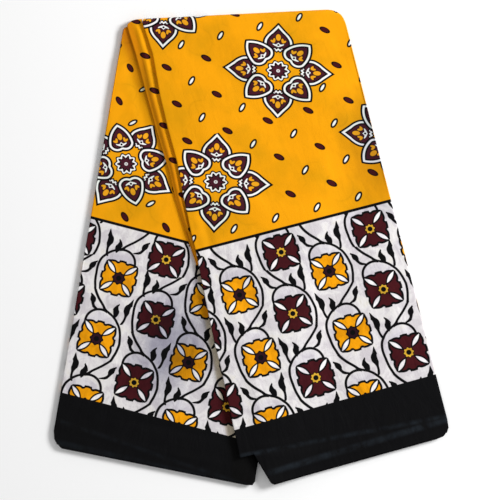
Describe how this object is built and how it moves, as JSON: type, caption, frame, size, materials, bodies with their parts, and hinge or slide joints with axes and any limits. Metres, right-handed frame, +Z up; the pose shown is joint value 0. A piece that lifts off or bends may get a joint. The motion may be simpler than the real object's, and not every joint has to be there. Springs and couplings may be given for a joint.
{
  "type": "kanga wrap cloth",
  "caption": "Folded printed cotton wrap cloth, laid flat: lengthwise pleats doubled over at a straight top fold and fanned out at the hems in overlapping lobes.",
  "frame": {"origin": "on the surface the cloth rests on, under the middle of its outline", "axes": "+Z up out of the surface, +Y along the length towards the top fold, +X to the right seen from above"},
  "size_m": [0.4732, 0.5702, 0.0135],
  "materials": {
    "printed_cotton": "plain-woven cotton with a printed pattern, matt",
    "cotton_layers": "edges of folded plain-woven cotton, matt"
  },
  "bodies": {
    "root": {"right_panel": "printed_cotton", "left_panel": "printed_cotton", "pleat_strip": "printed_cotton", "inner_layers": "cotton_layers"}
  },
  "joints": []
}
